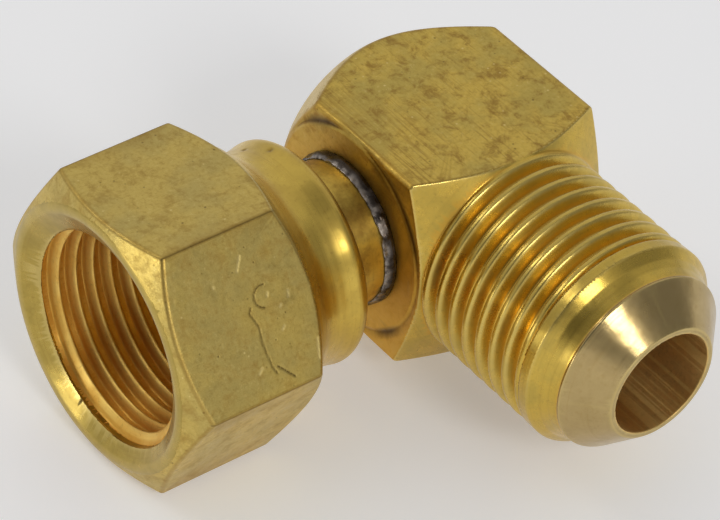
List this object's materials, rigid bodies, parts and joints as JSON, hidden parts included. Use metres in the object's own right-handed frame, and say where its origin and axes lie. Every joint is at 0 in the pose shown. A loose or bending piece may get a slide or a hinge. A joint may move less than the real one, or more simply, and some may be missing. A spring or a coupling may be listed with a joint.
{
  "type": "flare swivel elbow fitting",
  "caption": "Brass right-angle tube fitting with a threaded flare end and a captive swivel nut that turns freely on its soldered stem.",
  "frame": {"origin": "centre of the part in plan, at its lowest point, which is the lowest corner of the swivel nut's hexagon", "axes": "+X along the threaded flare end towards its nose, -Y along the swivel nut towards its mouth, +Z square to both, out of the elbow's upper flat"},
  "size_m": [0.0356, 0.0366, 0.0207],
  "materials": {
    "elbow_brass": "drawn and turned brass, tarnished olive gold, with a freshly turned paler flare cone",
    "stem_brass": "turned brass, heat stained beside the solder",
    "nut_brass": "tumbled brass with fine pits, a few scratches, and a smoother collar",
    "solder": "dull grey solder with a few bright spots and a dark outer edge"
  },
  "bodies": {
    "elbow": {"elbow_body": "elbow_brass", "swivel_stem": "stem_brass", "solder_ring": "solder"},
    "nut": {"swivel_nut": "nut_brass"}
  },
  "joints": [
    {"name": "nut_spin", "type": "hinge", "parent": "elbow", "child": "nut", "pos_m": [-0.00621, -0.01259, 0.01036], "axis": [0, -1, 0], "continuous": true}
  ]
}
